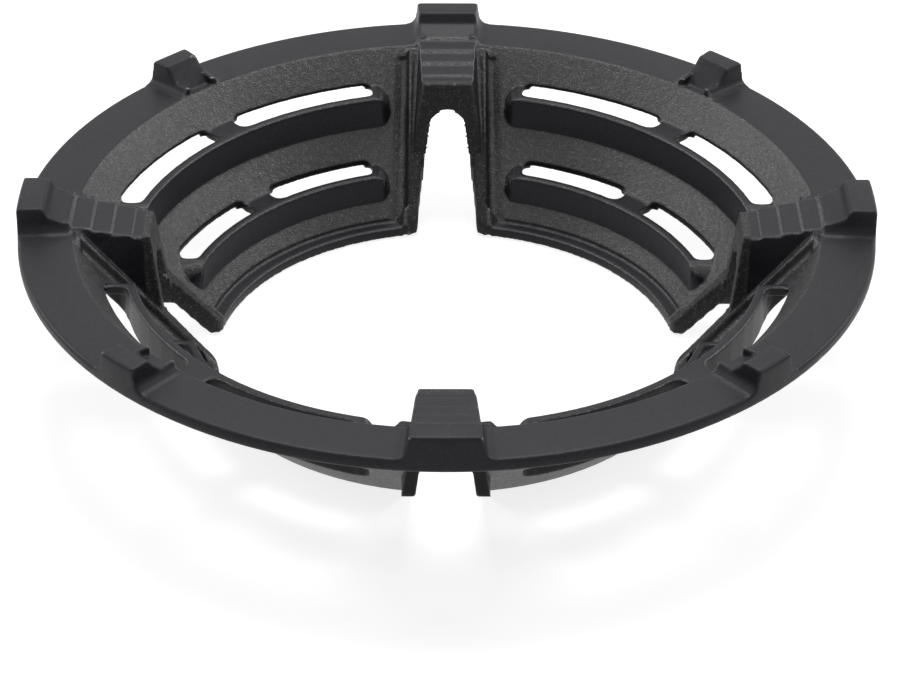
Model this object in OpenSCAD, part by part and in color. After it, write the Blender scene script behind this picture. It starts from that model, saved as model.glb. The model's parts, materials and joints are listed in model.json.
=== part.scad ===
// Wok ring for a gas hob: one casting in grey iron, without coating.
// A flat ring carries four louvred panels that slope down to an open mouth. The slots between the
// panels straddle the four arms of a pan support, and stepped lugs above them carry the wok.
// The origin is the centre of the rim's resting face, +Z is up, and a slot lies on each of the
// X and Y axes. Sizes are in millimetres.

/* [Ring] */
// Outer diameter of the ring
ring_d = 255; // [235:1:290]
// Height of the ring's flat top above the rim's resting face
ring_h = 48.6; // [42:0.1:56]
// Width of the ring's flat top, from the outer edge to the arris of the bowl
flange_w = 16.1; // [13:0.1:18]
// Thickness of the ring's flat edge
flange_t = 3.8; // [3:0.1:4.6]
// Diameter of the open mouth at the bottom
mouth_d = 141; // [120:1:148]
// Thickness of the sloping panels, square to their face
wall_t = 2.8; // [2.4:0.1:3.8]
// Radius of the rounded arrises of the ring
edge_r = 1; // [0.5:0.1:1.4]
// Radius of the fillet under the ring, where the panels spring from it
root_r = 3; // [1:0.5:5]

/* [Rim] */
// Width of the sunk land round the mouth
land_w = 4.1; // [3:0.1:6]
// Height of that land above the resting face
land_h = 3.4; // [2.6:0.1:4.2]

/* [Louvres] */
// Radial width of the sloping plate above the outer row of windows
plate_w = 7.4; // [6:0.1:8.5]
// Radial distance from the outer row of louvres to the inner row
row_pitch = 16.3; // [15:0.1:17.5]
// Radial width of the windows in the outer row
outer_window_w = 6.7; // [5:0.1:7.5]
// Radial width of the windows in the inner row
inner_window_w = 6.3; // [5:0.1:7]
// Height of the lip that ends the plate above the outer row
outer_lip_h = 0.9; // [0.5:0.1:1.6]
// Height of the lip that ends the plate above the inner row
inner_lip_h = 1.6; // [0.8:0.1:2.2]
// Thickness of the upright vane along the inside of each row
vane_t = 3; // [2.4:0.1:3.6]
// Distance from a slot's centre line to the end of a louvre
louvre_side = 18.9; // [18:0.1:22]
// Distance from a slot's centre line to the first window
window_side = 24.5; // [24:0.1:30]
// Thickness left at the edge of a window, under the flat beside it
window_edge_t = 0.4; // [0.3:0.1:1]
// Thickness of a louvre's end wall and of the bridge across its middle
web_t = 3; // [2.4:0.1:3.6]
// Width of the bridge between the two windows of a louvre
bridge_w = 9.9; // [7:0.1:14]
// Corner radius of the windows
window_r = 2.3; // [1:0.1:2.4]
// Corner radius of a louvre's ends, seen from above
louvre_r = 4.2; // [2:0.1:5]
// Radius along the top of a vane
vane_edge_r = 1; // [0.4:0.1:1.3]

/* [Claw slots] */
// Width of a slot at the mouth, measured on the sunk land
slot_w = 18.6; // [16:0.1:20]
// Draft of a slot's sides: it narrows upwards, in degrees from upright
slot_draft = 7.5; // [5:0.5:8]
// Depth of the portal's crown below the ring's flat top
portal_drop = 12; // [10:0.1:14]
// Corner radius where a slot opens into the mouth
slot_corner_r = 2; // [1:0.1:3]
// Distance from a slot's centre line to the ridge at the panel's edge
ridge_side = 15.2; // [14.5:0.1:17]
// Depth of the sunk border beside a slot, square to the panel
border_depth = 1.4; // [0.8:0.1:1.6]
// Width of the slope from the ridge down to the sunk border
border_slope_w = 2.7; // [1.5:0.1:3.2]
// Radial width of the panel left whole between the sunk border and the ring's arris
border_stop = 2.4; // [1.5:0.1:5]

/* [Main lugs] */
// Width of a main lug at the top of its hook
lug_w = 20; // [18:0.1:22]
// Height of the hook above the ring's flat top
hook_h = 7.4; // [5:0.1:10]
// Radial width of the hook
hook_w = 8.2; // [6:0.1:9]
// Drop from the hook to the first step
hook_drop = 3; // [2:0.1:4]
// Fall of the first, sloping step
ramp_fall = 2.3; // [1.5:0.1:3]
// Radial distance from one step to the next
step_pitch = 6.05; // [5:0.05:6.5]
// Height of a riser between two steps
riser_h = 0.9; // [0.5:0.1:1.3]
// Fall of a tread from its outer to its inner edge
tread_fall = 0.5; // [0:0.1:1]
// Number of risers
risers = 4; // [3:1:4]
// Radius of the lug's inner end, measured at its top
lug_end_r = 90.3; // [89:0.1:92]
// Slope of the lug's cheeks, in degrees from upright
cheek_draft = 8; // [5:0.5:9]
// Narrowing of the lug towards the mouth, in degrees for each cheek
cheek_taper = 4.9; // [3:0.1:6]
// Thickness of the lug's inner end wall at its foot
end_wall_t = 5; // [4:0.1:6]
// Thickness of metal left between the steps and the hollow under the lug
crown_t = 4.4; // [3.5:0.1:5.5]
// Radius of the fillets along the foot of both kinds of lug
lug_fillet_r = 3.2; // [1.5:0.1:4.5]

/* [Small lugs] */
// Width of a small lug at the top of its hook
small_lug_w = 13.3; // [10:0.1:18]
// Height of the small hook above the ring's flat top
small_hook_h = 7; // [5:0.1:9]
// Radial width of the small hook
small_hook_w = 6.6; // [5:0.1:8]
// Drop from the small hook to its ramp
small_hook_drop = 2; // [1:0.1:3]
// Radial length of the ramp behind the small hook
small_ramp_w = 5.4; // [4:0.1:5.6]

/* [Hidden] */
$fn = 96;
iron = [0.15, 0.15, 0.16];
tiny = 0.05;
slots = 4;
seam_angle = 30;
arc_steps = 4;
reach = 200;

// Ring and bowl. The bowl's inner face is one straight cone from the ring's arris to the mouth.
ring_r = ring_d / 2;
mouth_r = mouth_d / 2;
arris_r = ring_r - flange_w;
slope = ring_h / (arris_r - mouth_r);
slope_angle = atan(slope);
wall_v = wall_t / cos(slope_angle);
flange_z = ring_h - flange_t;

// Louvres: radius of each lip, level of the flat under it, and the vane's inner face
outer_lip_r = arris_r - plate_w;
inner_lip_r = outer_lip_r - row_pitch;
louvre_wall_x = louvre_side + web_t;
hollow_step = 0.4;

// Border beside a slot
border_v = border_depth / cos(slope_angle);

// Lugs
riser_run = 0.5;
lug_sink = (border_v + wall_v) / 2;
ramp_end_r = arris_r + riser_run;
ramp_end_z = ring_h + hook_h - hook_drop - ramp_fall;
hook_in_r = ring_r - hook_w;
end_draft_run = 1;
lug_foot_r = lug_end_r - end_draft_run;
hollow_r = lug_foot_r + end_wall_t;
hollow_in_z = ramp_end_z - (risers - 1) * (riser_h + tread_fall) - crown_t;
portal_crown_z = ring_h - portal_drop;
portal_r = 1.15 * slot_half_w(portal_crown_z);

// Height of the bowl's inner face at radius r
function bowl_z(r) = (r - mouth_r) * slope;

// Radius at which the bowl's inner face has height z
function bowl_r(z) = mouth_r + z / slope;

// Point at radius r and angle a, measured from the Y axis towards the X axis
function polar(r, a) = [r * sin(a), r * cos(a)];

function unit(v) = v / norm(v);

// Arc of radius r that rounds the corner b between the points a and c
function corner_arc(a, b, c, r, steps = arc_steps) =
    let(
        u = unit(a - b),
        v = unit(c - b),
        half = acos(u * v) / 2,
        centre = b + unit(u + v) * r / sin(half),
        from = b + u * r / tan(half) - centre,
        to = b + v * r / tan(half) - centre,
        start = atan2(from.y, from.x),
        sweep = (atan2(to.y, to.x) - start + 540) % 360 - 180
    )
    [for (i = [0:steps]) let(t = start + sweep * i / steps) centre + r * [cos(t), sin(t)]];

// Outline from corners written as [point, radius] or [point, radius, steps], each corner rounded
// by its radius
function rounded(corners) =
    let(n = len(corners))
    [for (i = [0:n - 1])
        let(c = corners[i])
        each c[1] == 0
            ? [c[0]]
            : corner_arc(corners[(i + n - 1) % n][0], c[0], corners[(i + 1) % n][0], c[1],
                len(c) > 2 ? c[2] : arc_steps)];

// Corners along an arc of radius r from angle a0 to a1, with its two ends rounded by end_r
function arc_corners(r, a0, a1, end_r, steps) =
    [for (i = [0:steps]) [polar(r, a0 + (a1 - a0) * i / steps), i == 0 || i == steps ? end_r : 0]];

// Plan of a window or of the space under it: one side lies side_x from the slot's centre line, the
// other bridge_half from the line midway between two slots
function window_plan(r_in, r_out, side_x, bridge_half, corner_in, corner_out) =
    rounded(concat(
        arc_corners(r_in, asin(side_x / r_in), 45 - asin(bridge_half / r_in), corner_in, 6),
        arc_corners(r_out, 45 - asin(bridge_half / r_out), asin(side_x / r_out), corner_out, 6)));

// Plan of a louvre between two slots, both of whose ends lie side_x from a slot's centre line
function louvre_plan(r_in, r_out, side_x, corner_in) =
    rounded(concat(
        arc_corners(r_in, asin(side_x / r_in), 90 - asin(side_x / r_in), corner_in, 22),
        arc_corners(r_out, 90 - asin(side_x / r_out), asin(side_x / r_out), 0, 12)));

// Stands the children's outline up along the Y axis, spread w to both sides of it
module upright(w) {
    rotate([90, 0, 90]) translate([0, 0, -w]) linear_extrude(2 * w) children();
}

// Section of the ring and bowl
module ring_section() {
    polygon(rounded([
        [[mouth_r, 0], 0],
        [[mouth_r, land_h], 0],
        [[mouth_r + land_w - tiny, land_h], 0],
        [[mouth_r + land_w, bowl_z(mouth_r + land_w)], 0],
        [[arris_r, ring_h], edge_r],
        [[ring_r, ring_h], edge_r],
        [[ring_r, flange_z], edge_r],
        [[bowl_r(flange_z + wall_v), flange_z], root_r],
        [[bowl_r(wall_v), 0], edge_r],
    ]));
}

// Groove along a slot: it leaves the panel's edge as a ridge over a sunk border
module border_groove() {
    spread = border_slope_w / border_depth;
    height = 30;
    top_w = ridge_side + height * spread;
    stop_r = arris_r - border_stop;
    intersection() {
        translate([0, mouth_r, 0]) rotate([slope_angle, 0, 0]) translate([0, -reach / 2, 0])
            rotate([90, 0, 180]) linear_extrude(reach) polygon([
                [0, -ridge_side / spread],
                [top_w, height],
                [-top_w, height],
            ]);
        rotate([0, 0, 60]) rotate_extrude(angle = 60) polygon([
            [mouth_r - 5, land_h],
            [bowl_r(land_h + border_v), land_h],
            [stop_r, bowl_z(stop_r) - border_v],
            [stop_r, ring_h + 5],
            [mouth_r - 5, ring_h + 5],
        ]);
    }
}

// Upright vane and the flat that joins it to the lip above
module louvre_section(lip_r, flat_z, vane_r) {
    polygon(rounded([
        [[vane_r, bowl_z(vane_r) - 1], 0],
        [[vane_r, flat_z], vane_edge_r],
        [[lip_r + 1, flat_z], 0],
    ]));
}

// Metal of one louvre, between two neighbouring slots
module louvre(lip_r, lip_h, window_w) {
    flat_z = bowl_z(lip_r) - lip_h;
    vane_r = lip_r - window_w - vane_t;
    intersection() {
        rotate_extrude() louvre_section(lip_r, flat_z, vane_r);
        linear_extrude(ring_h)
            polygon(louvre_plan(vane_r - tiny, lip_r + 2, louvre_side, louvre_r));
    }
}

// Windows of one louvre, with the relief that thins the lip above them and the hollow behind the vane
module louvre_openings(lip_r, lip_h, window_w) {
    flat_z = bowl_z(lip_r) - lip_h;
    window_in = lip_r - window_w;
    relief_in = lip_r - window_w / 2;
    relief_out = bowl_r(flat_z + wall_v) + 1;
    inset = 0.15;
    for (side = [0, 1]) rotate([0, 0, -45]) mirror([side, 0, 0]) rotate([0, 0, 45]) {
        linear_extrude(2 * ring_h, center = true)
            polygon(window_plan(window_in, lip_r, window_side, bridge_w / 2, window_r, window_r));
        linear_extrude(2 * (flat_z - window_edge_t), center = true)
            polygon(window_plan(relief_in, relief_out, window_side + inset, bridge_w / 2 + inset, 0, 0));
    }
    linear_extrude(2 * (flat_z - web_t), center = true)
        polygon(louvre_plan(window_in + hollow_step, relief_out, louvre_wall_x, window_r));
}

// Side view of a main lug: hook, sloping step, treads and risers, and the inner end wall
function lug_profile() =
    let(fall = riser_h + tread_fall)
    concat(
        [[[lug_foot_r, bowl_z(lug_foot_r) - lug_sink], 0]],
        [[[lug_end_r, ramp_end_z - risers * riser_h - (risers - 1) * tread_fall], edge_r]],
        [for (k = [risers - 1:-1:0]) each [
            [[ramp_end_r - k * step_pitch - riser_run, ramp_end_z - k * fall - riser_h], 0],
            [[ramp_end_r - k * step_pitch, ramp_end_z - k * fall], 0],
        ]],
        [
            [[hook_in_r - 1.5, ring_h + hook_h - hook_drop], 0],
            [[hook_in_r, ring_h + hook_h], edge_r],
            [[ring_r, ring_h + hook_h], edge_r],
            [[ring_r, ring_h - flange_t / 2], 0],
            [[arris_r + 1, ring_h - flange_t / 2], 0],
        ]);

// Side view of a small lug: hook and ramp
function small_lug_profile() =
    let(hook_in = ring_r - small_hook_w, foot = ring_h - flange_t / 2)
    [
        [[hook_in - small_ramp_w - 2, foot], 0],
        [[hook_in - small_ramp_w - 1.5, ring_h], 0],
        [[hook_in - 1.5, ring_h + small_hook_h - small_hook_drop], 0],
        [[hook_in, ring_h + small_hook_h], edge_r],
        [[ring_r, ring_h + small_hook_h], edge_r],
        [[ring_r, foot], 0],
    ];

// Half-space inside one drafted, tapering cheek of a lug w wide at its top
module cheek(w, top_z) {
    translate([w / 2, ring_r, top_z]) rotate([0, -cheek_draft, -cheek_taper])
        translate([-reach / 2, -reach, -reach / 2]) cube([reach / 2, 1.5 * reach, reach]);
}

// Fillet between a lug's cheek and the ring's flat top
module lug_fillet(w, h) {
    foot = w / 2 + h * tan(cheek_draft);
    up = [-sin(cheek_draft), cos(cheek_draft)];
    arc = corner_arc([reach, 0], [0, 0], reach * up, lug_fillet_r);
    last = arc[arc_steps];
    translate([foot, ring_r, ring_h]) rotate([90, 0, -cheek_taper])
        translate([0, 0, -10]) linear_extrude(flange_w + 10)
            polygon(concat(arc, [[-2, last.y], [-2, -1], [arc[0].x, -1]]));
}

// A lug of a given side view, flush with the ring's outer edge
module lug(profile, w, h) {
    intersection() {
        union() {
            intersection() {
                upright(w) polygon(rounded(profile));
                cheek(w, ring_h + h);
                mirror([1, 0, 0]) cheek(w, ring_h + h);
            }
            lug_fillet(w, h);
            mirror([1, 0, 0]) lug_fillet(w, h);
        }
        cylinder(h = ring_h + h, r = ring_r);
    }
}

// Half the width of a slot at height z
function slot_half_w(z) = slot_w / 2 - (z - land_h) * tan(slot_draft);

// Slot between two panels, its portal through the lug's end wall and the hollow under the lug
module claw_slot() {
    corner_x = slot_w / 2;
    corner_y = sqrt(mouth_r * mouth_r - corner_x * corner_x);
    intersection() {
        rotate([90, 0, 180]) linear_extrude(reach) polygon([
            [slot_half_w(-2), -2],
            [slot_half_w(ring_h), ring_h],
            [-slot_half_w(ring_h), ring_h],
            [-slot_half_w(-2), -2],
        ]);
        union() {
            translate([0, hollow_r + 1, 0]) rotate([90, 0, 0]) linear_extrude(hollow_r - mouth_r / 2) {
                translate([0, portal_crown_z - portal_r]) circle(portal_r);
                translate([-slot_w, -reach]) square([2 * slot_w, reach + portal_crown_z - portal_r]);
            }
            upright(slot_w) polygon(rounded([
                [[hollow_r, -1], 0],
                [[hollow_r, hollow_in_z], 2],
                [[arris_r - 4, flange_z], 0],
                [[reach, flange_z], 0],
                [[reach, -1], 0],
            ]));
        }
    }
    for (side = [0, 1]) mirror([side, 0, 0]) linear_extrude(2 * land_h, center = true)
        polygon(concat(
            corner_arc([corner_x, reach], [corner_x, corner_y], [reach, corner_y], slot_corner_r),
            [[corner_x + slot_corner_r, mouth_r / 2], [0, mouth_r / 2], [0, corner_y + slot_corner_r]]));
}

// The whole casting
module wok_ring() {
    color(iron) difference() {
        union() {
            difference() {
                rotate([0, 0, seam_angle]) rotate_extrude() ring_section();
                for (k = [0:slots - 1]) rotate([0, 0, k * 360 / slots]) border_groove();
            }
            for (k = [0:slots - 1]) rotate([0, 0, k * 360 / slots]) {
                louvre(outer_lip_r, outer_lip_h, outer_window_w);
                louvre(inner_lip_r, inner_lip_h, inner_window_w);
                lug(lug_profile(), lug_w, hook_h);
                rotate([0, 0, 45]) lug(small_lug_profile(), small_lug_w, small_hook_h);
            }
        }
        for (k = [0:slots - 1]) rotate([0, 0, k * 360 / slots]) {
            louvre_openings(outer_lip_r, outer_lip_h, outer_window_w);
            louvre_openings(inner_lip_r, inner_lip_h, inner_window_w);
            claw_slot();
        }
    }
}

wok_ring();
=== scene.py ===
"""Cast-iron wok ring, dressed and photographed on white."""

import json
import logging
import math
from dataclasses import dataclass, field
from enum import Enum

import bmesh
import bpy
import numpy as np
from mathutils import Matrix, Vector

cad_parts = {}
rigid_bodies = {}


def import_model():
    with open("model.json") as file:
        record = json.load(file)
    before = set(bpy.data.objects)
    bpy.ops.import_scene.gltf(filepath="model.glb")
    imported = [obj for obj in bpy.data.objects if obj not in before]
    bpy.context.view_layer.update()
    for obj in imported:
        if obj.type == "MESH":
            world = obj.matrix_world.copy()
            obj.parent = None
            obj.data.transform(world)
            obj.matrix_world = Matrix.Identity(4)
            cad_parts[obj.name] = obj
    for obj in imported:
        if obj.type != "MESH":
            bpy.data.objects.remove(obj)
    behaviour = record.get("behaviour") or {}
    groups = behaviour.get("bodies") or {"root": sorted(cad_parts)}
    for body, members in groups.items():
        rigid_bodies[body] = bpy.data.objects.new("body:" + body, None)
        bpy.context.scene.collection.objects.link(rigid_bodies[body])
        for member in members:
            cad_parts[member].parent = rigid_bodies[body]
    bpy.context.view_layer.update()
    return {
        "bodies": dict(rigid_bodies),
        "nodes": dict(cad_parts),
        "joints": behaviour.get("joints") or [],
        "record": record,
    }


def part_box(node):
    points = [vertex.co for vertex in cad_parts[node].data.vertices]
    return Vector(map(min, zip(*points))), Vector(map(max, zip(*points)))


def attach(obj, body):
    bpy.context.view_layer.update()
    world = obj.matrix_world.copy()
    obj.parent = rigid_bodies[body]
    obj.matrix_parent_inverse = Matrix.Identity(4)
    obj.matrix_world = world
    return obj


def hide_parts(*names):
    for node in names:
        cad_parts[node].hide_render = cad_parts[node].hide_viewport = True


log = logging.getLogger("wok_ring")

MM = 0.001
Heights = float | np.ndarray
Block = tuple[list[Vector], list[Vector]]


class Relief(Enum):
    """How rough the sand has left a face of the casting."""

    SMOOTH = 0.12
    FINE = 0.8
    COARSE = 1.0


@dataclass(frozen=True)
class IronFinish:
    """Black as-cast iron: colours are linear, and lengths are in metres."""

    smooth_colour: tuple[float, float, float] = (0.0098, 0.0098, 0.0130)
    panel_colour: tuple[float, float, float] = (0.0098, 0.0096, 0.0112)
    raw_colour: tuple[float, float, float] = (0.024, 0.024, 0.0245)
    # Painted highlight colour, used for the sparkle on the grains and the glints on the arrises.
    glint_colour: tuple[float, float, float] = (0.14, 0.14, 0.147)
    # Painted shade, laid in concave creases.
    crease_shade_colour: tuple[float, float, float] = (0.0035, 0.0035, 0.0040)
    smooth_roughness: float = 0.44
    panel_roughness: float = 0.40
    raw_roughness: float = 0.58
    arris_roughness: float = 0.24
    specular: float = 0.20
    panel_specular: float = 0.6
    arris_specular: float = 0.9
    # arris_points to arris_highlight_share: convex arrises get a lower roughness, more specular, and a
    # painted highlight of the glint colour broken into dashes by noise.
    arris_points: tuple[float, float] = (0.53, 0.59)
    arris_glint_dashes: tuple[float, float] = (0.40, 0.62)
    arris_highlight_share: float = 0.5
    # Pointiness over which concave creases are painted with shade.
    crease_shade_points: tuple[float, float] = (0.485, 0.43)
    # Where grains take the painted sparkle highlight.
    glint_grain: tuple[float, float] = (0.51, 0.66)
    glint_peel: tuple[float, float] = (0.38, 0.60)
    peel_size: float = 0.0017
    grain_size: float = 0.00045
    peel_depth: float = 0.00030
    grain_depth: float = 0.00018


@dataclass(frozen=True)
class StudioFinish:
    """White floor that keeps a soft shadow, and the room around it."""

    floor_colour: tuple[float, float, float] = (0.42, 0.42, 0.42)
    floor_glow: float = 0.80
    room_light: float = 0.36
    room_seen: float = 1.0


@dataclass(frozen=True)
class RingForm:
    """Sizes in millimetres of the casting's forms that the dressing follows or adds."""

    ring_h: float = 48.6
    arris_r: float = 111.4
    mouth_r: float = 70.5
    land_h: float = 3.4
    wall_v: float = 4.35
    slot_w: float = 18.6
    slot_draft: float = 7.5
    ridge_side: float = 15.2
    border_v: float = 2.18
    border_slope_w: float = 2.7
    lip_radii: tuple[float, float] = (104.0, 87.7)
    lip_heights: tuple[float, float] = (0.9, 1.6)
    window_widths: tuple[float, float] = (6.7, 6.3)
    vane_t: float = 3.0
    louvre_side: float = 18.9
    window_side: float = 24.5
    bridge_w: float = 9.9
    window_r: float = 3.0
    louvre_round: float = 6.5
    curb_top_r: float = 108.0
    curb_top_z: float = 47.6
    curb_slope: float = 1.16
    curb_side: float = 13.6
    curb_lean: float = 0.048
    curb_foot_r: float = 72.0
    curb_fall: float = 3.2
    curb_foot_h: float = 0.6
    curb_stop: float = 0.6
    land_w: float = 4.1
    border_end_r: float = 109.0
    groove_end_r: float = 107.0
    groove_depth: float = 0.75
    groove_inset: float = 1.25
    groove_w: float = 0.55
    lug_end_top: float = 88.2
    lug_end_foot: float = 85.0
    small_lug_half: float = 11.0
    toe_depth: float = 2.8
    toe_in_r: float = 105.0
    toe_past_arris: float = 2.0

    @property
    def slope(self) -> float:
        """Rise of the bowl's face for each millimetre of radius."""
        return self.ring_h / (self.arris_r - self.mouth_r)

    def cone(self, r: Heights) -> Heights:
        """Height of the bowl's inner face at radius r."""
        return (r - self.mouth_r) * self.slope

    def slot_half(self, z: float) -> float:
        """Half the width of a slot at height z."""
        return self.slot_w / 2 - (z - self.land_h) * math.tan(math.radians(self.slot_draft))


def socket(node: bpy.types.Node, name: str) -> bpy.types.NodeSocket:
    """Returns the input of a node that has this name and is in use.

    Args:
        node: Node whose inputs are searched.
        name: Name of the input.

    Returns:
        The first enabled input of that name.
    """
    return next(s for s in node.inputs if s.name == name and s.enabled)


def math_node(tree: bpy.types.NodeTree, kind: str, *values: object) -> bpy.types.NodeSocket:
    """Adds a Math node.

    Args:
        tree: Node tree that takes the node.
        kind: Operation, such as MULTIPLY.
        values: Its inputs in order, each a number or a socket.

    Returns:
        The node's output.
    """
    node = tree.nodes.new("ShaderNodeMath")
    node.operation = kind
    for slot, value in zip(node.inputs, values):
        if isinstance(value, bpy.types.NodeSocket):
            tree.links.new(value, slot)
        else:
            slot.default_value = value
    return node.outputs[0]


def ramp(tree: bpy.types.NodeTree, value: bpy.types.NodeSocket, low: float,
         high: float) -> bpy.types.NodeSocket:
    """Adds a smooth step from 0 at low to 1 at high.

    Args:
        tree: Node tree that takes the node.
        value: Socket that is read.
        low: Value that gives 0.
        high: Value that gives 1; it may be the lower of the two.

    Returns:
        The node's output.
    """
    node = tree.nodes.new("ShaderNodeMapRange")
    node.interpolation_type = "SMOOTHSTEP"
    tree.links.new(value, socket(node, "Value"))
    flip = low > high
    socket(node, "From Min").default_value = min(low, high)
    socket(node, "From Max").default_value = max(low, high)
    socket(node, "To Min").default_value = 1.0 if flip else 0.0
    socket(node, "To Max").default_value = 0.0 if flip else 1.0
    return node.outputs["Result"]


def mix_colour(tree: bpy.types.NodeTree, factor: bpy.types.NodeSocket, a: object,
               b: object) -> bpy.types.NodeSocket:
    """Adds a colour mix.

    Args:
        tree: Node tree that takes the node.
        factor: 0 gives a and 1 gives b.
        a: Colour or socket.
        b: Colour or socket.

    Returns:
        The mixed colour.
    """
    node = tree.nodes.new("ShaderNodeMix")
    node.data_type = "RGBA"
    tree.links.new(factor, socket(node, "Factor"))
    for name, value in (("A", a), ("B", b)):
        if isinstance(value, bpy.types.NodeSocket):
            tree.links.new(value, socket(node, name))
        else:
            socket(node, name).default_value = (*value, 1.0)
    return next(s for s in node.outputs if s.enabled)


def seen_ray(tree: bpy.types.NodeTree, path: bpy.types.Node) -> bpy.types.NodeSocket:
    """Adds a mask of the rays that see the background: the camera's, and those off or through a surface.

    Args:
        tree: Node tree that takes the nodes.
        path: Light Path node.

    Returns:
        The mask.
    """
    off = math_node(tree, "MAXIMUM", path.outputs["Is Glossy Ray"], path.outputs["Is Transmission Ray"])
    return math_node(tree, "MAXIMUM", path.outputs["Is Camera Ray"], off)


@dataclass
class CastSurface:
    """Node groups and material of the as-cast iron.

    The groups read only the place, the slope and the curvature of the surface, so they hold from every side.
    """

    finish: IronFinish = field(default_factory=IronFinish)
    arris_r: float = 111.4 * MM
    lug_end_r: float = 91.3 * MM
    border_half: float = 12.6 * MM
    gentle_tilt: tuple[float, float] = (0.93, 0.80)
    steep_tilt: tuple[float, float] = (0.30, 0.50)
    facing_up: tuple[float, float] = (-0.25, -0.1)

    def build_zones(self) -> bpy.types.ShaderNodeTree:
        """Builds the group that tells the casting's kinds of face apart.

        Returns:
            A node group with the masks Panel, Raw and Arris, and a mask of the concave creases where the
            material paints shade.
        """
        tree = bpy.data.node_groups.new("CastZones", "ShaderNodeTree")
        for name in ("Panel", "Raw", "Arris", "CreaseShade"):
            tree.interface.new_socket(name, in_out="OUTPUT", socket_type="NodeSocketFloat")
        place = tree.nodes.new("ShaderNodeTexCoord").outputs["Object"]
        parts = tree.nodes.new("ShaderNodeSeparateXYZ")
        tree.links.new(place, parts.inputs[0])
        x, y = parts.outputs["X"], parts.outputs["Y"]
        radius = math_node(tree, "SQRT", math_node(tree, "ADD",
                           math_node(tree, "MULTIPLY", x, x), math_node(tree, "MULTIPLY", y, y)))
        lateral = math_node(tree, "MINIMUM", math_node(tree, "ABSOLUTE", x), math_node(tree, "ABSOLUTE", y))
        normal = tree.nodes.new("ShaderNodeSeparateXYZ")
        skin = tree.nodes.new("ShaderNodeNewGeometry")
        tree.links.new(skin.outputs["Normal"], normal.inputs[0])
        up = normal.outputs["Z"]
        tilt = math_node(tree, "ABSOLUTE", up)
        sloping = math_node(tree, "MULTIPLY", ramp(tree, tilt, *self.steep_tilt),
                            ramp(tree, tilt, *self.gentle_tilt))
        inside = ramp(tree, radius, self.arris_r + 1.5 * MM, self.arris_r)
        in_slot = ramp(tree, lateral, self.border_half + 0.8 * MM, self.border_half)
        below_lug = ramp(tree, radius, self.lug_end_r, self.lug_end_r - 1.0 * MM)
        raw = math_node(tree, "MULTIPLY", math_node(tree, "MULTIPLY", in_slot, below_lug),
                        ramp(tree, up, *self.facing_up))
        panel = math_node(tree, "MULTIPLY", math_node(tree, "MULTIPLY", sloping, inside),
                          math_node(tree, "SUBTRACT", 1.0, raw))
        output = tree.nodes.new("NodeGroupOutput")
        tree.links.new(panel, output.inputs["Panel"])
        tree.links.new(raw, output.inputs["Raw"])
        # Noise that breaks the arrises' painted highlight into dashes.
        glint_dashes = self.add_noise(tree, place, self.finish.peel_size, detail=1.0, rough=0.5)
        arris = math_node(tree, "MULTIPLY", ramp(tree, skin.outputs["Pointiness"], *self.finish.arris_points),
                          ramp(tree, glint_dashes, *self.finish.arris_glint_dashes))
        tree.links.new(arris, output.inputs["Arris"])
        # Concave creases, which the material paints darker as shade.
        crease_shade = ramp(tree, skin.outputs["Pointiness"], *self.finish.crease_shade_points)
        tree.links.new(crease_shade, output.inputs["CreaseShade"])
        return tree

    def build_sand(self) -> bpy.types.ShaderNodeTree:
        """Builds the group for the skin that the sand mould leaves.

        Returns:
            A node group with Height in metres, and a mask of the grains that the material paints with the
            glint colour as sparkle highlights.
        """
        look = self.finish
        tree = bpy.data.node_groups.new("SandSkin", "ShaderNodeTree")
        tree.interface.new_socket("Strength", in_out="INPUT", socket_type="NodeSocketFloat")
        tree.interface.new_socket("Height", in_out="OUTPUT", socket_type="NodeSocketFloat")
        tree.interface.new_socket("GritGlint", in_out="OUTPUT", socket_type="NodeSocketFloat")
        given = tree.nodes.new("NodeGroupInput")
        place = tree.nodes.new("ShaderNodeTexCoord").outputs["Object"]
        peel = self.add_noise(tree, place, look.peel_size, detail=3.0, rough=0.6)
        grain = self.add_noise(tree, place, look.grain_size, detail=2.0, rough=0.7)
        peel_h = math_node(tree, "MULTIPLY", peel, look.peel_depth)
        grain_h = math_node(tree, "MULTIPLY", grain, look.grain_depth)
        skin = math_node(tree, "MULTIPLY", math_node(tree, "ADD", peel_h, grain_h), given.outputs["Strength"])
        # Painted sparkle: grains high on both noises, which the material paints with the glint colour.
        grit_glint = math_node(tree, "MULTIPLY", ramp(tree, grain, *look.glint_grain),
                         ramp(tree, peel, *look.glint_peel))
        output = tree.nodes.new("NodeGroupOutput")
        tree.links.new(skin, output.inputs["Height"])
        tree.links.new(math_node(tree, "MULTIPLY", grit_glint, given.outputs["Strength"]), output.inputs["GritGlint"])
        return tree

    @staticmethod
    def add_noise(tree: bpy.types.NodeTree, place: bpy.types.NodeSocket, size: float, detail: float,
                  rough: float) -> bpy.types.NodeSocket:
        """Adds a noise whose lumps are about size across.

        Args:
            tree: Node tree that takes the node.
            place: Coordinates in metres.
            size: Width of a lump in metres.
            detail: Number of finer layers.
            rough: Weight of the finer layers.

        Returns:
            The noise, from 0 to 1.
        """
        node = tree.nodes.new("ShaderNodeTexNoise")
        tree.links.new(place, node.inputs["Vector"])
        node.inputs["Scale"].default_value = 1.0 / size
        node.inputs["Detail"].default_value = detail
        node.inputs["Roughness"].default_value = rough
        return node.outputs["Fac"]

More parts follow.
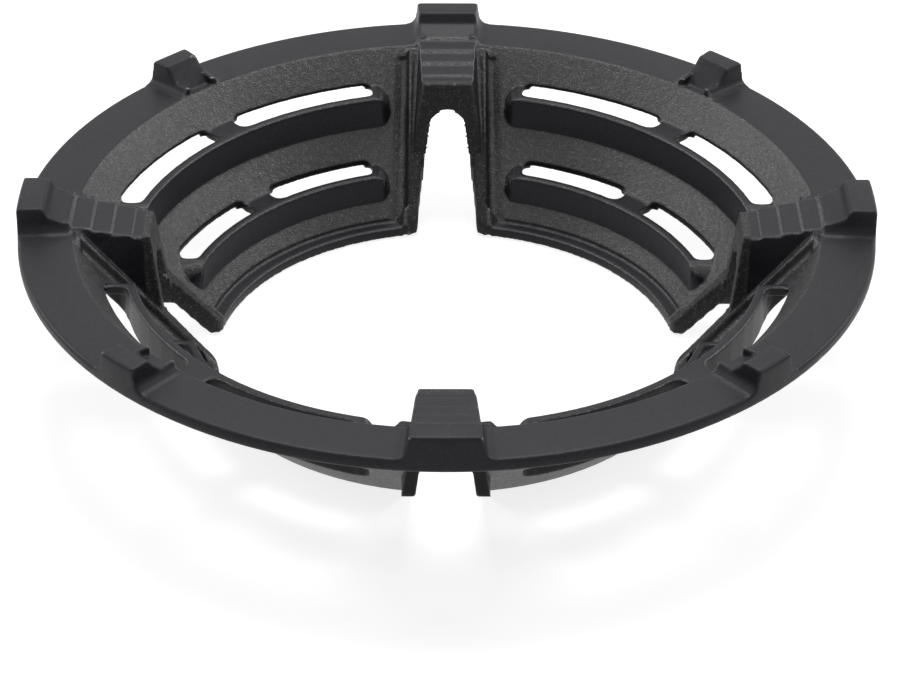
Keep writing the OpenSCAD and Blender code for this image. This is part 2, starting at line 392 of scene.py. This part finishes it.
    def build_material(self) -> bpy.types.Material:
        """Builds the iron's material.

        Returns:
            The material for the whole casting.
        """
        look = self.finish
        material = bpy.data.materials.new("as_cast_iron")
        material.use_nodes = True
        tree = material.node_tree
        shader = tree.nodes["Principled BSDF"]
        zones = tree.nodes.new("ShaderNodeGroup")
        zones.node_tree = self.build_zones()
        skin = tree.nodes.new("ShaderNodeGroup")
        skin.node_tree = self.build_sand()
        panel, raw = zones.outputs["Panel"], zones.outputs["Raw"]
        coarse = math_node(tree, "MULTIPLY", panel, Relief.COARSE.value - Relief.SMOOTH.value)
        fine = math_node(tree, "MULTIPLY", raw, Relief.FINE.value)
        strength = math_node(tree, "ADD", math_node(tree, "ADD", coarse, fine), Relief.SMOOTH.value)
        tree.links.new(strength, skin.inputs["Strength"])
        base = mix_colour(tree, panel, look.smooth_colour, look.panel_colour)
        base = mix_colour(tree, raw, base, look.raw_colour)
        # Painted highlight: sparkle of the glint colour on the grains.
        base = mix_colour(tree, skin.outputs["GritGlint"], base, look.glint_colour)
        arris = zones.outputs["Arris"]
        # Painted shade: the crevice colour darkens concave creases.
        base = mix_colour(tree, zones.outputs["CreaseShade"], base, look.crease_shade_colour)
        # Painted highlight: part of the glint colour laid on the convex arrises.
        painted_arris_highlight = math_node(tree, "MULTIPLY", arris, look.arris_highlight_share)
        base = mix_colour(tree, painted_arris_highlight, base, look.glint_colour)
        tree.links.new(base, shader.inputs["Base Color"])
        rough = math_node(tree, "ADD", look.smooth_roughness,
                          math_node(tree, "MULTIPLY", panel, look.panel_roughness - look.smooth_roughness))
        rough = math_node(tree, "ADD", rough,
                          math_node(tree, "MULTIPLY", raw, look.raw_roughness - look.smooth_roughness))
        rough = math_node(tree, "ADD",
                          math_node(tree, "MULTIPLY", rough, math_node(tree, "SUBTRACT", 1.0, arris)),
                          math_node(tree, "MULTIPLY", arris, look.arris_roughness))
        tree.links.new(rough, shader.inputs["Roughness"])
        shine = math_node(tree, "ADD", look.specular,
                          math_node(tree, "MULTIPLY", panel, look.panel_specular - look.specular))
        shine = math_node(tree, "ADD", shine,
                          math_node(tree, "MULTIPLY", arris, look.arris_specular - look.specular))
        tree.links.new(shine, shader.inputs["Specular IOR Level"])
        bump = tree.nodes.new("ShaderNodeBump")
        bump.inputs["Strength"].default_value = 1.0
        bump.inputs["Distance"].default_value = 1.0
        tree.links.new(skin.outputs["Height"], bump.inputs["Height"])
        tree.links.new(bump.outputs["Normal"], shader.inputs["Normal"])
        return material


@dataclass
class Casting:
    """The ring itself: the solid of the frame, with the soft arrises and corners of a sand casting."""

    node: str = "wok_ring"
    form: RingForm = field(default_factory=RingForm)
    voxel: float = 0.5 * MM
    soften_steps: int = 3
    even_steps: int = 2
    soften_share: float = 0.5
    most_faces: int = 190000
    end_levels: tuple[float, ...] = (12.0, 20.0, 30.0, 40.0)
    end_crest: float = 45.9
    end_slope_z: float = 20.0
    end_back: float = 92.8
    end_half: float = 7.75
    end_draft: float = 8.0
    crown_z: float = 36.6
    arch_r: float = 5.67
    arch_clear: float = 0.35
    corner_lap: float = 0.8
    corner_depth: float = 1.7
    corner_sink: float = 0.1

    def build(self, frame: dict) -> bpy.types.Object:
        """Makes the dressed casting from the frame's solid.


        Returns:
            The new piece, which stands for the solid.
        """
        source = frame["nodes"][self.node]
        mesh = source.data.copy()
        mesh.transform(source.matrix_world)
        self.add_metal(mesh)
        piece = bpy.data.objects.new("casting", mesh)
        bpy.context.scene.collection.objects.link(piece)
        self.soften(piece)
        return piece

    def add_metal(self, mesh: bpy.types.Mesh) -> None:
        """Adds the closed blocks that the even skin then joins to the casting.

        Args:
            mesh: Mesh of the solid, in metres.
        """
        shape = bmesh.new()
        shape.from_mesh(mesh)
        for quarter in range(4):
            turn = Matrix.Rotation(math.radians(90 * quarter), 4, "Z")
            blocks = [self.lug_end()] + self.window_corners()
            for near, far in blocks:
                self.add_block(shape, near, far, turn)
        shape.to_mesh(mesh)
        shape.free()

    @staticmethod
    def add_block(shape: bmesh.types.BMesh, near: list[Vector], far: list[Vector], turn: Matrix) -> None:
        """Adds a closed block between two outlines with the same number of points.

        Args:
            shape: Mesh that takes the block.
            near: First outline, in millimetres.
            far: Second outline, in millimetres.
            turn: Rotation about the ring's axis.
        """
        rings = [[shape.verts.new(turn @ (p * MM)) for p in ring] for ring in (near, far)]
        count = len(near)
        faces = [shape.faces.new(rings[0]), shape.faces.new(list(reversed(rings[1])))]
        for i in range(count):
            j = (i + 1) % count
            faces.append(shape.faces.new((rings[0][j], rings[0][i], rings[1][i], rings[1][j])))
        bmesh.ops.triangulate(shape, faces=faces)

    def lug_end(self) -> Block:
        """Draws the sloping inner end of a main lug, arched over its portal, about the Y axis.

        Its legs start at a fixed height, so at their outer end they reach below the panel.

        Returns:
            The outlines of its near and its far end.
        """
        form = self.form
        near, far = [], []
        outer = [(self.lug_half(z), z) for z in (*self.end_levels, self.end_crest)]
        centre_z = self.crown_z - self.arch_r
        clear_r = self.arch_r + self.arch_clear
        arch = [(clear_r * math.cos(t), centre_z + clear_r * math.sin(t))
                for t in np.radians(np.linspace(0.0, 180.0, 13))[1:-1]]
        inner = [(form.slot_half(z) + self.arch_clear, z) for z in (*self.end_levels[:2], centre_z)]
        outline = outer + [(-x, z) for x, z in reversed(outer)]
        outline += [(-x, z) for x, z in inner] + list(reversed(arch)) + list(reversed(inner))
        for x, z in outline:
            share = min(max((self.end_crest - z) / (self.end_crest - self.end_slope_z), 0.0), 1.3)
            near.append(Vector((x, form.lug_end_top + (form.lug_end_foot - form.lug_end_top) * share, z)))
            far.append(Vector((x, self.end_back, z)))
        return near, far

    def lug_half(self, z: float) -> float:
        """Half the width of a main lug's inner end at height z."""
        return self.end_half + (self.end_crest - z) * math.tan(math.radians(self.end_draft))

    def window_corners(self) -> list[Block]:
        """Draws the metal that rounds the corners of the windows between two slots.

        Returns:
            One block for each corner.
        """
        form = self.form
        blocks = []
        for lip_r, lip_h, width in zip(form.lip_radii, form.lip_heights, form.window_widths):
            top = form.cone(lip_r) - lip_h - self.corner_sink
            start = math.asin(form.window_side / lip_r)
            stop = math.pi / 4 - math.asin(form.bridge_w / 2 / lip_r)
            for r_edge, inward in ((lip_r, -1.0), (lip_r - width, 1.0)):
                for angle, ahead in ((start, 1.0), (stop, -1.0)):
                    for side in (1.0, -1.0):
                        blocks.append(self.corner_block(r_edge, inward, angle, ahead, side, top))
        return blocks

    def corner_block(self, r_edge: float, inward: float, angle: float, ahead: float, side: float,
                     top: float) -> Block:
        """Draws one fillet of a window in the quarter from the Y to the X axis.

        Args:
            r_edge: Radius of the window's edge.
            inward: Side of that edge on which the window lies, 1 for outwards and -1 for inwards.
            angle: Angle of the window's end from the nearer slot.
            ahead: Side of that end on which the window lies.
            side: 1 for the window by the Y axis and -1 for its mirror image.
            top: Height of the fillet's top.

        Returns:
            Its lower and its upper outline.
        """
        radius = self.form.window_r
        centre_r = r_edge + inward * radius
        centre_a = angle + ahead * radius / r_edge
        lap = self.corner_lap
        points = [(r_edge - inward * lap, angle - ahead * lap / r_edge),
                  (r_edge - inward * lap, centre_a), (r_edge, centre_a)]
        for t in np.radians(np.linspace(15.0, 75.0, 5)):
            points.append((centre_r - inward * radius * math.cos(t),
                           centre_a - ahead * radius * math.sin(t) / r_edge))
        points += [(centre_r, angle), (centre_r, angle - ahead * lap / r_edge)]
        rings = []
        for z in (top - self.corner_depth, top):
            ring = []
            for r, a in points:
                bearing = a if side > 0 else math.pi / 2 - a
                ring.append(Vector((r * math.sin(bearing), r * math.cos(bearing), z)))
            rings.append(ring)
        return rings[0], rings[1]

    def soften(self, piece: bpy.types.Object) -> None:
        """Rounds every arris and corner by about a voxel, and shapes the curbs and louvre ends.

        Args:
            piece: Object whose mesh is remade.
        """
        remesh = piece.modifiers.new("even_skin", "REMESH")
        remesh.mode = "VOXEL"
        remesh.voxel_size = self.voxel
        smooth = piece.modifiers.new("round_arrises", "SMOOTH")
        smooth.factor = self.soften_share
        smooth.iterations = self.soften_steps
        self.apply_modifiers(piece)
        self.shape_points(piece)
        smooth = piece.modifiers.new("even_shapes", "SMOOTH")
        smooth.factor = self.soften_share
        smooth.iterations = self.even_steps
        thin = piece.modifiers.new("thin_flats", "DECIMATE")
        thin.ratio = min(1.0, self.most_faces / (2 * len(piece.data.polygons)))
        self.apply_modifiers(piece)
        self.keep_inside(piece)
        piece.data.polygons.foreach_set("use_smooth", [True] * len(piece.data.polygons))

    def shape_points(self, piece: bpy.types.Object) -> None:
        """Moves the skin's points to the louvres' round ends, the small lugs' toes and the slots' curbs.

        Args:
            piece: Object whose mesh has a point for about every voxel.
        """
        mesh = piece.data
        points = np.empty(3 * len(mesh.vertices), dtype=np.float32)
        mesh.vertices.foreach_get("co", points)
        points = points.reshape(-1, 3) / MM
        radius = np.hypot(points[:, 0], points[:, 1])
        side = np.minimum(np.abs(points[:, 0]), np.abs(points[:, 1]))
        height = self.round_louvres(radius, side, points[:, 2].copy())
        height = self.fill_toes(points, radius, height)
        points[:, 2] = self.raise_curbs(radius, side, height)
        mesh.vertices.foreach_set("co", (points * MM).ravel())
        mesh.update()

    def fill_toes(self, points: np.ndarray, radius: np.ndarray, height: np.ndarray) -> np.ndarray:
        """Lifts shallow dips by the small lugs' toes to the panel and the flange; deeper pits stay.

        Args:
            points: Places of the skin's points.
            radius: Distance of each point from the ring's axis.
            height: Its height.

        Returns:
            The new heights.
        """
        form = self.form
        across = np.abs(np.abs(points[:, 0]) - np.abs(points[:, 1])) / math.sqrt(2)
        face = np.minimum(form.cone(radius), form.ring_h)
        near = (across < form.small_lug_half) & (radius > form.toe_in_r)
        near &= radius < form.arris_r + form.toe_past_arris
        near &= height > face - form.toe_depth
        return np.where(near, np.maximum(height, face), height)

    def round_louvres(self, radius: np.ndarray, side: np.ndarray, height: np.ndarray) -> np.ndarray:
        """Rounds the ends of the louvres down to the panel.

        Args:
            radius: Distance of each point from the ring's axis.
            side: Its distance from the nearest slot's centre line.
            height: Its height.

        Returns:
            The new heights.
        """
        form = self.form
        centre = form.louvre_side + form.louvre_round
        reach = np.clip(centre - side, 0, None)
        drop = form.louvre_round - np.sqrt(np.clip(form.louvre_round ** 2 - reach ** 2, 0, None))
        floor = form.cone(radius)
        for lip_r, lip_h, width in zip(form.lip_radii, form.lip_heights, form.window_widths):
            flat = form.cone(lip_r) - lip_h
            vane_r = lip_r - width - form.vane_t
            near = (radius > vane_r - 1.2) & (radius < lip_r)
            near &= (side > form.louvre_side - 1.0) & (side < centre)
            near &= height > floor + 0.1
            height = np.where(near, np.minimum(height, np.maximum(floor, flat + 0.3 - drop)), height)
        return height

    def raise_curbs(self, radius: np.ndarray, side: np.ndarray, height: np.ndarray) -> np.ndarray:
        """Raises the panels' edges beside the slots to their curbs.

        Args:
            radius: Distance of each point from the ring's axis.
            side: Its distance from the nearest slot's centre line.
            height: Its height.

        Returns:
            The new heights.
        """
        form = self.form
        floor = form.cone(radius)
        sunk = form.border_v * np.clip((form.ridge_side - side) / form.border_slope_w, 0, 1)
        sunk = np.where(radius > form.border_end_r, 0.0, sunk)
        face = np.maximum(floor - sunk, np.where(side < form.ridge_side, form.land_h, floor))
        face = np.where(radius < form.mouth_r + form.land_w, form.land_h, face)
        edge = form.curb_side - form.curb_lean * (radius - form.curb_foot_r)
        top = np.minimum(form.curb_top_z - (form.curb_top_r - radius) * form.curb_slope, form.ring_h)
        top = np.maximum(top, form.land_h + form.curb_foot_h)
        groove = form.groove_depth * np.exp(-((side - (edge - form.groove_inset)) / form.groove_w) ** 2)
        blend = np.clip((side - edge) / form.curb_fall, 0, 1)
        blend = 1.0 - blend * blend * (3.0 - 2.0 * blend)
        goal = np.maximum(floor + (top - floor) * blend - groove * (radius < form.groove_end_r), face)
        goal = np.where(side > edge + form.curb_fall, face, goal)
        stop_r = form.arris_r - form.curb_stop
        goal = np.where(radius > stop_r, face, goal)
        under = floor - form.wall_v
        share = np.clip((height - under) / np.maximum(face - under, 0.5), 0, 1)
        near = (side < edge + form.curb_fall) & (radius < stop_r) & (radius > form.mouth_r - 1.0)
        lifted = np.where(height < face, height + share ** 2 * (goal - face), np.maximum(height, goal))
        return np.where(near, lifted, height)

    @staticmethod
    def apply_modifiers(piece: bpy.types.Object) -> None:
        """Bakes an object's modifiers into its mesh.

        Args:
            piece: Object whose modifiers are applied.
        """
        view = bpy.context.evaluated_depsgraph_get()
        view.update()
        mesh = bpy.data.meshes.new_from_object(piece.evaluated_get(view))
        piece.modifiers.clear()
        piece.data = mesh

    def keep_inside(self, piece: bpy.types.Object) -> None:
        """Holds every point within the solid's own box.

        Args:
            piece: Object whose points are checked.
        """
        low, high = (np.array(c, dtype=np.float32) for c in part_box(self.node))
        points = np.empty(3 * len(piece.data.vertices), dtype=np.float32)
        piece.data.vertices.foreach_get("co", points)
        points = np.clip(points.reshape(-1, 3), low, high)
        piece.data.vertices.foreach_set("co", points.ravel())
        piece.data.update()


@dataclass
class Studio:
    """Camera, lamps and floor."""

    finish: StudioFinish = field(default_factory=StudioFinish)
    ring_top: float = 48.6 * MM
    camera_range: float = 896.9 * MM
    camera_elevation: float = 30.58
    camera_dip: float = 33.01
    camera_side: float = 1.05 * MM
    camera_roll: float = 0.13
    lens: float = 119.9
    sensor: float = 36.0
    floor_half: float = 6.0
    floor_drop: float = 0.2 * MM

    def build_camera(self) -> None:
        """Puts the camera where the photograph was taken from."""
        data = bpy.data.cameras.new("camera")
        data.lens = self.lens
        data.sensor_width = self.sensor
        data.clip_start = 0.01
        camera = bpy.data.objects.new("camera", data)
        bpy.context.scene.collection.objects.link(camera)
        lift = math.radians(self.camera_elevation)
        place = Vector((self.camera_side, -self.camera_range * math.cos(lift),
                        self.ring_top + self.camera_range * math.sin(lift)))
        turn = Matrix.Rotation(math.radians(90.0 - self.camera_dip), 4, "X")
        roll = Matrix.Rotation(math.radians(self.camera_roll), 4, "Z")
        camera.matrix_world = Matrix.Translation(place) @ turn @ roll
        bpy.context.scene.camera = camera

    def build_lamp(self, name: str, place: tuple[float, float, float], size: tuple[float, float],
                   power: float) -> None:
        """Adds a soft box that faces the ring.

        Args:
            name: Name of the lamp.
            place: Its centre in metres.
            size: Its width and height in metres.
            power: Its power in watts.
        """
        data = bpy.data.lights.new(name, "AREA")
        data.shape = "RECTANGLE"
        data.size, data.size_y = size
        data.energy = power
        lamp = bpy.data.objects.new(name, data)
        lamp.location = place
        aim = Vector((0.0, 0.0, self.ring_top / 2)) - Vector(place)
        lamp.rotation_euler = aim.to_track_quat("-Z", "Y").to_euler()
        bpy.context.scene.collection.objects.link(lamp)

    def build_floor(self) -> None:
        """Lays the white floor under the ring."""
        mesh = bpy.data.meshes.new("floor")
        shape = bmesh.new()
        half = self.floor_half
        corners = ((-1, -1), (1, -1), (1, 1), (-1, 1))
        shape.faces.new([shape.verts.new((x * half, y * half, -self.floor_drop)) for x, y in corners])
        shape.to_mesh(mesh)
        shape.free()
        floor = bpy.data.objects.new("floor", mesh)
        bpy.context.scene.collection.objects.link(floor)
        mesh.materials.append(self.build_floor_material())

    def build_floor_material(self) -> bpy.types.Material:
        """Builds a white that the camera and gloss see as background, with the shadow kept.

        Returns:
            The floor's material.
        """
        material = bpy.data.materials.new("white_floor")
        material.use_nodes = True
        tree = material.node_tree
        shader = tree.nodes["Principled BSDF"]
        shader.inputs["Base Color"].default_value = (*self.finish.floor_colour, 1.0)
        shader.inputs["Roughness"].default_value = 0.9
        shader.inputs["Specular IOR Level"].default_value = 0.0
        shader.inputs["Emission Color"].default_value = (1.0, 1.0, 1.0, 1.0)
        path = tree.nodes.new("ShaderNodeLightPath")
        glow = math_node(tree, "MULTIPLY", seen_ray(tree, path), self.finish.floor_glow)
        tree.links.new(glow, shader.inputs["Emission Strength"])
        return material

    def build_world(self) -> None:
        """Fills the room with even light, white where it is seen directly."""
        world = bpy.data.worlds.new("room")
        bpy.context.scene.world = world
        world.use_nodes = True
        tree = world.node_tree
        back = tree.nodes["Background"]
        path = tree.nodes.new("ShaderNodeLightPath")
        strength = math_node(tree, "ADD", self.finish.room_light,
                             math_node(tree, "MULTIPLY", seen_ray(tree, path),
                                       self.finish.room_seen - self.finish.room_light))
        back.inputs["Color"].default_value = (1.0, 1.0, 1.0, 1.0)
        tree.links.new(strength, back.inputs["Strength"])

    def build(self) -> None:
        """Builds the whole studio."""
        self.build_camera()
        self.build_world()
        self.build_floor()
        self.build_lamp("sky_box", (0.0, 0.50, 1.2), (0.7, 0.5), 10.0)
        self.build_lamp("left_box", (-1.1, 0.5, 0.7), (0.4, 0.4), 5.5)
        self.build_lamp("right_box", (1.1, 0.5, 0.7), (0.4, 0.4), 5.5)
        bpy.context.scene.view_settings.view_transform = "Standard"


def main() -> None:
    """Builds the studio and the casting."""
    logging.basicConfig(level=logging.INFO)
    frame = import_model()
    Studio().build()
    piece = Casting().build(frame)
    piece.data.materials.clear()
    piece.data.materials.append(CastSurface().build_material())
    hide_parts("wok_ring")
    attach(piece, "root")
    log.info("%s: %d faces", piece.name, len(piece.data.polygons))


if __name__ == "__main__":
    main()
